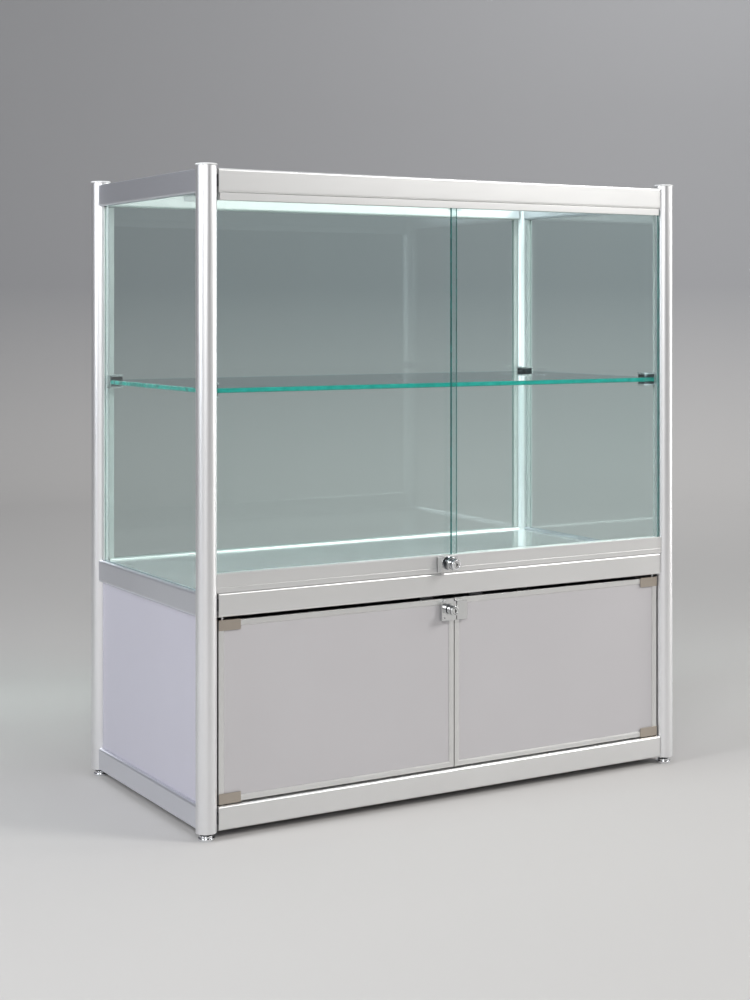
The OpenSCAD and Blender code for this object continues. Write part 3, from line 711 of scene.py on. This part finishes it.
def add_hinges(side):
    """Folded clips over a door's two outer corners, each with its pivot pin."""
    node = f"{side}_door_hinges"
    low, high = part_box(node)
    door_low, door_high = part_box(f"{side}_door_trim")
    sign = -1 if side == "left" else 1
    outer = door_low.x if sign < 0 else door_high.x
    left, right = sorted((outer, outer - sign * (high.x - low.x)))
    skin, height, gap = 1.4 * MM, 17.5 * MM, 0.2 * MM
    pin_r, pin_inset = 2.0 * MM, 8 * MM
    pivot_x = outer - sign * pin_inset
    middle_y = (low.y + high.y) / 2
    bm = bmesh.new()
    for edge, up, tip in ((door_high.z, 1, high.z), (door_low.z, -1, low.z)):
        top = edge + up * (gap + skin)
        z0, z1 = sorted((top, top - up * height))
        web0, web1 = sorted((top, top - up * skin))
        add_block(bm, (left, low.y, z0), (right, low.y + skin, z1), 0.6 * MM, segments=3)
        add_block(bm, (left, high.y - skin, z0), (right, high.y, z1), 0.6 * MM, segments=3)
        add_block(
            bm, (left + TINY, low.y + TINY, web0), (right - TINY, high.y - TINY, web1), 0.3 * MM
        )
        start = top - up * skin / 2
        length = abs(tip - start)
        pin = [(pin_r, 0)] + soft_corner(pin_r, length, 0.5 * MM) + [(0, length)]
        add_lathe(bm, pin, (pivot_x, middle_y, start), (0, 0, up), 1, 32)
    finish_mesh(f"{side}_hinge_clips", bm, f"door_{side}", "hinge_nickel", [node], NICKEL, PLATED)


for side in SIDES:
    add_hinges(side)


# ---------------------------------------------------------------- both locks' turned pieces


def barrel_outlines(radius, neck, lip, front, lip_back, soft, face_len):
    """A barrel's face with its bore, the groove behind it, and the start of its rear."""
    edge, groove_len, bore_edge = 0.4 * MM, 2.4 * MM, 0.5 * MM
    groove_front = front - face_len - edge
    groove_back = groove_front - groove_len
    face = [(lip, lip_back), (lip, front - bore_edge), (lip + bore_edge, front)]
    face += soft_corner(radius, front, soft)[::-1]
    face += [(radius, front - face_len), (radius - edge, groove_front)]
    groove = [(radius - edge, groove_front), (neck, groove_front)]
    groove += [(neck, groove_back), (radius - edge, groove_back)]
    rear = [(radius - edge, groove_back), (radius, groove_back - edge)]
    return face, groove, rear


# ---------------------------------------------------------------- push lock of the sliding doors


def push_axis(front):
    """The push lock's axis at a given y."""
    low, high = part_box("push_lock_barrel")
    return ((low.x + high.x) / 2, front, (low.z + high.z) / 2)


def add_sleeve(bm, low, high, barrel_r):
    """The bracket's sleeve: a plain foot, a grooved waist, a rounded head and the bore."""
    place = push_axis(high.y)
    length = high.y - low.y
    radius, bore = barrel_r + 2.5 * MM, barrel_r + 0.1 * MM
    waist = radius - 1.8 * MM
    foot_top, rim, slope, mouth = 4.5 * MM, length - 5 * MM, 0.7 * MM, 0.5 * MM
    foot = [(radius, 0), (radius, foot_top)]
    groove = [(radius, foot_top), (waist, foot_top + slope), (waist, rim - slope), (radius, rim)]
    head = [(radius, rim)] + soft_corner(radius, length, 0.9 * MM)
    head += [(bore + 0.3 * MM, length), (bore, length - mouth)]
    inside = [(bore, length - mouth), (bore, 0), (radius, 0)]
    # The groove takes the third material, chrome painted dark as shade.
    for outline, index in ((foot, 0), (groove, 2), (head, 0), (inside, 1)):
        add_lathe(bm, outline, place, FRONT, index)


def add_push_bracket():
    """The push lock's bracket: a plate on both sides of the sleeve, a cheek and two screws."""
    low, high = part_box("push_lock_bracket")
    barrel_low, barrel_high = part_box("push_lock_barrel")
    axis_x, _, _ = push_axis(low.y)
    barrel_r = (barrel_high.x - barrel_low.x) / 2
    plate_t, cheek_t, cheek_depth = 2.5 * MM, 2.5 * MM, 15 * MM
    bottom, top = low.z + 0.2 * MM, low.z + 27 * MM
    screw_in, screw_r = 4.5 * MM, 2.2 * MM
    bm = bmesh.new()
    spans = [(low.x, axis_x - barrel_r - 5 * MM), (axis_x + barrel_r + 0.2 * MM, high.x)]
    for left, right in spans:
        add_block(bm, (left, high.y - plate_t, bottom), (right, high.y, top), 0.5 * MM, index=3)
    add_block(
        bm, (low.x, high.y - cheek_depth, bottom), (low.x + cheek_t, high.y, top), 0.7 * MM,
        segments=3,
    )
    add_sleeve(bm, low, high, barrel_r)
    for z in (top - screw_in, low.z + screw_in):
        add_screw(bm, (low.x + 8 * MM, high.y - plate_t, z), screw_r)
    finish_mesh(
        "push_lock_bracket_plate", bm, "frame", "chrome", ["push_lock_bracket"],
        SATIN_CHROME, KEYWAY, RECESS_SHADE_CHROME, PLATED,
    )


def add_push_barrel():
    """The push lock's barrel: a grooved head, a plain body, and the pin behind it."""
    low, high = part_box("push_lock_barrel")
    plug_low, plug_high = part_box("push_lock_plug")
    radius, length = (high.x - low.x) / 2, high.y - low.y
    lip = (plug_high.x - plug_low.x) / 2 + 0.15 * MM
    neck, bore_depth, body, pin_r, tip = radius - 1.6 * MM, 10 * MM, 17 * MM, 3 * MM, 0.5 * MM
    face, groove, rear = barrel_outlines(radius, neck, lip, 0, -bore_depth, 1.1 * MM, 3.6 * MM)
    rear += [(radius, -body), (pin_r, -body), (pin_r, -length + tip)]
    rear += [(pin_r - tip, -length), (0, -length)]
    bore_floor = [(0, -bore_depth - 0.2 * MM), (lip, -bore_depth)]
    bm = bmesh.new()
    # The groove takes the second material, chrome painted dark as shade.
    for outline, index in ((face, 0), (groove, 1), (rear, 0), (bore_floor, 2)):
        add_lathe(bm, outline, push_axis(low.y), FRONT, index)
    finish_mesh(
        "push_lock_barrel_turned", bm, "push_lock", "chrome", ["push_lock_barrel"],
        CHROME, RECESS_SHADE_CHROME, KEYWAY,
    )


def add_push_plug():
    """The push lock's key plug."""
    low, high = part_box("push_lock_plug")
    bm = bmesh.new()
    add_key_plug(bm, (high.x - low.x) / 2, high.y - low.y, push_axis(low.y))
    finish_mesh(
        "push_lock_key_plug_disc", bm, "push_lock_key_plug", "chrome", ["push_lock_plug"],
        SATIN_CHROME, KEYWAY,
    )


# ---------------------------------------------------------------- lock of the cupboard doors

LOCK_SKIN = 1.5 * MM
LOCK_PLUG_R = 5.5 * MM
LOCK_LIP = LOCK_PLUG_R + 0.15 * MM


def door_lock_axis(y):
    """The cupboard lock's axis at a given y."""
    joint = next(j for j in frame["joints"] if j["name"] == "door_lock_key_turn")
    return (joint["pos_m"][0], y, joint["pos_m"][2])


def add_strap(bm, case_front, case_back, case_top):
    """The strap from the top of the case, over the left door's edge and down its back."""
    _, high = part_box("door_lock_body")
    door_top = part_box("left_door_trim")[1].z
    width, thick, soft, reach = 17.5 * MM, 1.4 * MM, 0.5 * MM, 29.8 * MM
    axis_x = door_lock_axis(case_front)[0]
    left, right = axis_x - width / 2, axis_x + width / 2
    add_block(bm, (left, case_front, case_top - MM), (right, case_back, high.z), soft)
    add_block(bm, (left, case_front + MM, high.z - thick), (right, high.y, high.z), soft)
    add_block(bm, (left, high.y - thick, door_top - reach), (right, high.y, high.z), soft)


def add_case_barrel(bm, case_front, length):
    """The barrel that stands out of the case: a grooved head, a neck and a collar."""
    radius = 8.5 * MM
    neck, collar_r = radius - 1.5 * MM, radius + 1.8 * MM
    neck_top, collar_top, edge = 4.6 * MM, 2.2 * MM, 0.4 * MM
    face, groove, rear = barrel_outlines(
        radius, neck, LOCK_LIP, length, -LOCK_SKIN, 1.0 * MM, 3.4 * MM
    )
    rear += [(radius, neck_top)]
    waist = [(radius, neck_top), (neck, neck_top - edge), (neck, collar_top)]
    collar = [(neck, collar_top), (collar_r - edge, collar_top), (collar_r, collar_top - edge)]
    collar += [(collar_r, -0.5 * MM)]
    # The groove and the waist take the third material, chrome painted dark as shade.
    for outline, index in ((face, 0), (groove, 2), (rear, 0), (waist, 2), (collar, 0)):
        add_lathe(bm, outline, door_lock_axis(case_front), FRONT, index)


def add_door_lock_case():
    """The lock's case on the left door: a bored plate, three walls, a strap, a barrel and a screw."""
    low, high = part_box("door_lock_body")
    strike_low, strike_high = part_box("door_lock_strike")
    front, back, top = strike_low.y, strike_high.y, strike_high.z
    axis_x, _, axis_z = door_lock_axis(front)
    side_t, wall_t, screw_in = 1.4 * MM, 1.8 * MM, 5 * MM
    bm = bmesh.new()
    add_bored_plate(
        bm, Vector((low.x, front, low.z)), Vector((high.x, front + LOCK_SKIN, top)),
        (axis_x, axis_z), LOCK_LIP, 0.7 * MM,
    )
    add_block(bm, (low.x, front + TINY, low.z + TINY), (low.x + side_t, back, top - TINY))
    add_block(bm, (low.x + TINY, front + TINY, low.z), (high.x, back, low.z + wall_t))
    add_block(bm, (low.x + TINY, front + TINY, top - wall_t), (high.x, back, top))
    add_strap(bm, front, back, top)
    add_case_barrel(bm, front, front - low.y)
    add_screw(bm, (low.x + screw_in, front, low.z + screw_in), 1.7 * MM)
    finish_mesh(
        "door_lock_case", bm, "door_left", "chrome", ["door_lock_body"],
        SATIN_CHROME, KEYWAY, RECESS_SHADE_CHROME,
    )


def add_door_lock_strike():
    """The strike on the right door: a front plate, an end block and two bars, open to the bolt."""
    low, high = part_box("door_lock_strike")
    end_w, bottom_h, top_h = 9 * MM, 8 * MM, 4.5 * MM
    bm = bmesh.new()
    add_block(bm, low, (high.x, low.y + LOCK_SKIN, high.z), 0.7 * MM, segments=3)
    add_block(
        bm, (high.x - end_w, low.y + TINY, low.z + TINY), (high.x - TINY, high.y, high.z - TINY)
    )
    for bottom, top in ((low.z, low.z + bottom_h), (high.z - top_h, high.z)):
        add_block(bm, (low.x, low.y + TINY, bottom), (high.x - MM, high.y, top))
    finish_mesh(
        "door_lock_strike_box", bm, "door_right", "chrome", ["door_lock_strike"], SATIN_CHROME
    )


def add_door_lock_plug():
    """The cupboard lock's key plug, with the flange and the crank pin behind it."""
    plug_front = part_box("door_lock_plug")[0].y
    case_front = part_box("door_lock_strike")[0].y
    flange_r, flange_front, flange_back = 6.8 * MM, -1.8 * MM, -3 * MM
    crank, crank_angle, pin_r, pin_len = 5.657 * MM, math.pi / 4, 1.2 * MM, 3 * MM
    bm = bmesh.new()
    add_key_plug(bm, LOCK_PLUG_R, case_front - plug_front, door_lock_axis(plug_front))
    flange = [(0, flange_back), (flange_r, flange_back), (flange_r, flange_front)]
    flange += [(LOCK_PLUG_R, flange_front), (LOCK_PLUG_R, 0)]
    add_lathe(bm, flange, door_lock_axis(case_front), FRONT, 2)
    x, y, z = door_lock_axis(case_front - flange_back)
    place = (x - crank * math.sin(crank_angle), y, z + crank * math.cos(crank_angle))
    add_lathe(bm, [(pin_r, 0), (pin_r, pin_len), (0, pin_len)], place, (0, 1, 0), 2, 24)
    finish_mesh(
        "door_lock_key_plug_disc", bm, "door_lock_key_plug", "chrome", ["door_lock_plug"],
        SATIN_CHROME, KEYWAY, PLATED,
    )


add_push_bracket()
add_push_barrel()
add_push_plug()
add_door_lock_case()
add_door_lock_strike()
add_door_lock_plug()


# ---------------------------------------------------------------- stage, lights and camera


def ramp_between(made, coordinate, start, end):
    """Runs from 0 to 1 as a coordinate goes from start to end."""
    ranged = made.node_tree.nodes.new("ShaderNodeMapRange")
    ranged.inputs["From Min"].default_value = start
    ranged.inputs["From Max"].default_value = end
    made.node_tree.links.new(coordinate, ranged.inputs["Value"])
    return ranged.outputs["Result"]


def studio_paint():
    """Pale on the floor, and up the wall grey behind the case and dark before it."""
    floor = (0.60, 0.585, 0.57, 1)
    back_wall = (0.34, 0.34, 0.35, 1)
    front_wall = (0.06, 0.06, 0.065, 1)
    made, shader = material("studio_paint")
    nodes, links = made.node_tree.nodes, made.node_tree.links
    place = nodes.new("ShaderNodeTexCoord")
    split = nodes.new("ShaderNodeSeparateXYZ")
    links.new(place.outputs["Object"], split.inputs["Vector"])
    wall = nodes.new("ShaderNodeValToRGB")
    wall.color_ramp.elements[0].color = back_wall
    wall.color_ramp.elements[1].color = front_wall
    links.new(ramp_between(made, split.outputs["Y"], 1.0, -2.5), wall.inputs["Fac"])
    mix = nodes.new("ShaderNodeMix")
    mix.data_type = "RGBA"
    mix.inputs[6].default_value = floor
    links.new(ramp_between(made, split.outputs["Z"], 0.0, 1.0), mix.inputs[0])
    links.new(wall.outputs["Color"], mix.inputs[7])
    links.new(mix.outputs[2], shader.inputs["Base Color"])
    shader.inputs["Roughness"].default_value = 0.75
    return made


def add_studio():
    """A floor that sweeps up into a wall all round."""
    inner, flat, top, rise, steps = 1.5, 4.6, 5.2, 2.0, 12
    profile = [(0, 0), (inner, 0), (flat, 0)]
    for k in range(1, steps + 1):
        a = math.pi / 2 * k / steps
        profile.append((flat + rise * math.sin(a), rise - rise * math.cos(a)))
    profile += [(flat + rise, top)]
    bm = bmesh.new()
    add_lathe(bm, profile, (0, 0, 0), segments=96)
    mesh = bpy.data.meshes.new("studio_sweep")
    bm.to_mesh(mesh)
    bm.free()
    mesh.polygons.foreach_set("use_smooth", [True] * len(mesh.polygons))
    mesh.materials.append(studio_paint())
    sweep = bpy.data.objects.new("studio_sweep", mesh)
    SCENE.collection.objects.link(sweep)


def add_lamp(name, place, target, size, power, colour=(1, 1, 1)):
    """A rectangular softbox that faces a target."""
    lamp = bpy.data.lights.new(name, "AREA")
    lamp.shape = "RECTANGLE"
    lamp.size, lamp.size_y = size
    lamp.energy = power
    lamp.color = colour
    holder = bpy.data.objects.new(name, lamp)
    holder.location = place
    direction = Vector(target) - Vector(place)
    holder.rotation_euler = direction.to_track_quat("-Z", "Y").to_euler()
    SCENE.collection.objects.link(holder)


def add_camera():
    """A level camera, placed from the front left post, with a vertical lens shift."""
    lens, shift, turn = 62.2, -0.1895, math.radians(30.54)
    to_left, to_front, height = 1.2008, 2.5797, 0.868
    camera = bpy.data.cameras.new("camera")
    camera.lens = lens
    camera.sensor_width = 36
    camera.shift_y = shift
    camera.clip_end = 60
    holder = bpy.data.objects.new("camera", camera)
    corner_low, corner_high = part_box("post_front_left")
    corner = (corner_low + corner_high) / 2
    holder.location = (corner.x - to_left, corner.y - to_front, height)
    holder.rotation_euler = (math.pi / 2, 0, -turn)
    SCENE.collection.objects.link(holder)
    SCENE.camera = holder


def add_world():
    """A faint cool light from all round."""
    sky, strength = (0.80, 0.83, 0.88, 1), 0.35
    world = bpy.data.worlds.new("world")
    world.use_nodes = True
    background = world.node_tree.nodes["Background"]
    background.inputs["Color"].default_value = sky
    background.inputs["Strength"].default_value = strength
    SCENE.world = world


MIDDLE = (0, 0, 0.6)
WARM = (1.0, 0.99, 0.97)
COOL = (0.93, 0.96, 1.0)

add_studio()
add_camera()
add_world()
add_lamp("key", (2.8, -3.2, 3.0), MIDDLE, size=(1.3, 1.1), power=105, colour=WARM)
add_lamp("front_fill", (-3.0, -4.2, 2.5), MIDDLE, size=(2.6, 2.0), power=98)
add_lamp("right_strip", (3.4, -1.3, 1.3), (0.4, -0.2, 0.8), size=(0.8, 2.4), power=32, colour=WARM)
add_lamp("left_strip", (-3.2, -0.3, 2.1), (-0.4, -0.2, 1.0), size=(0.9, 2.2), power=62, colour=COOL)
add_lamp("overhead", (0.0, 0.2, 4.2), (0, 0, 0), size=(2.4, 1.6), power=24)
add_lamp("wall_wash", (3.2, 2.2, 3.4), (3.6, 6.0, 1.8), size=(2.0, 1.0), power=70)
SCENE.view_settings.view_transform = "Standard"
